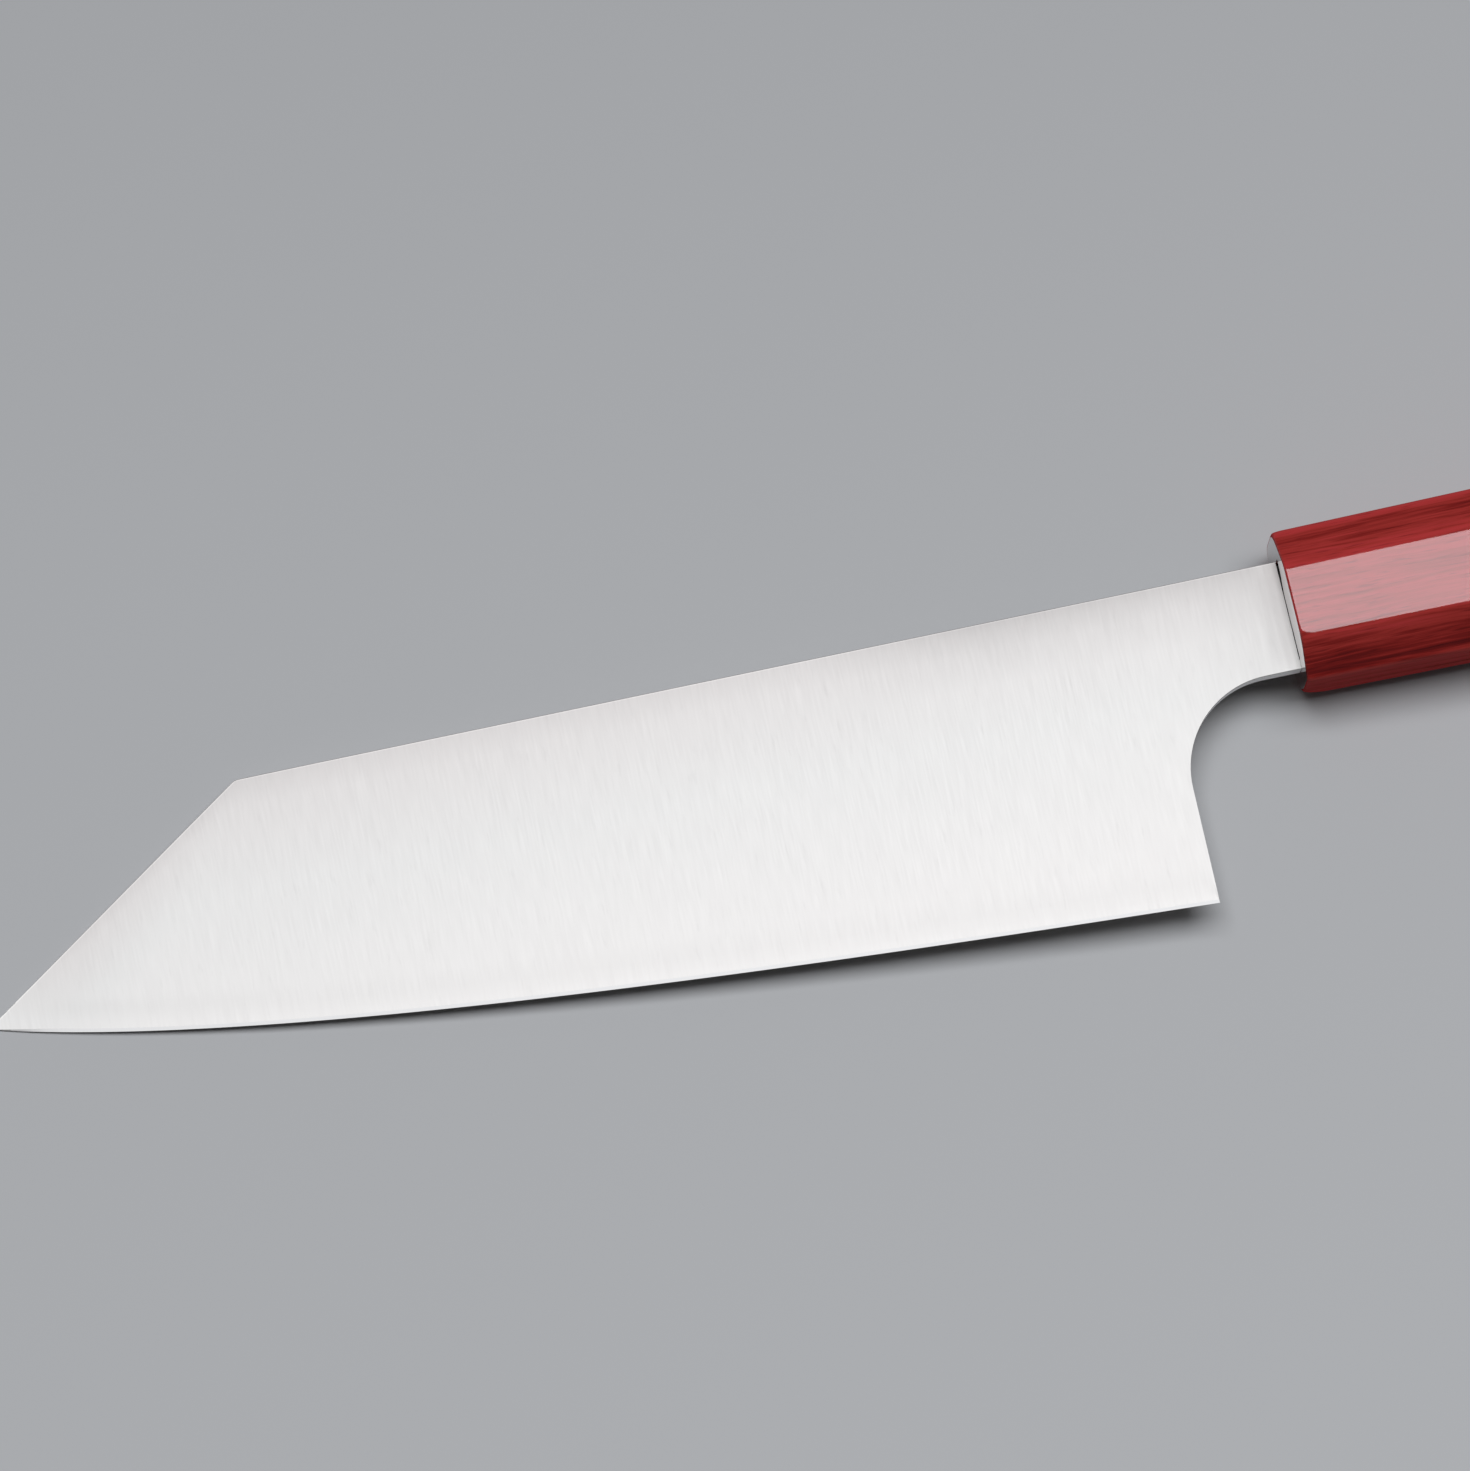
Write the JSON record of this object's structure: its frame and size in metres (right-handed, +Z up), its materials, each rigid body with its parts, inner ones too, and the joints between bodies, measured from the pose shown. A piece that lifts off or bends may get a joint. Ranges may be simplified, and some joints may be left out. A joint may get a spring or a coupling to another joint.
{
  "type": "bunka knife",
  "caption": "Bunka kitchen knife with a tall, straight-spined blade cut off to an angled point, a hidden tang and a glossy red octagonal handle.",
  "frame": {"origin": "on the floor, under the middle of the knife's bounding box as it lies on its side", "axes": "+X from the tip towards the butt of the handle, +Y from the cutting edge towards the spine, +Z up from the floor"},
  "size_m": [0.3154, 0.0502, 0.0237],
  "materials": {
    "core_steel": "satin",
    "clad_steel": "satin",
    "handle_wood": "gloss",
    "adhesive": "satin"
  },
  "bodies": {
    "root": {"blade_core": "core_steel", "cladding_left": "clad_steel", "cladding_right": "clad_steel", "handle": "handle_wood", "tang_adhesive": "adhesive"}
  },
  "joints": []
}
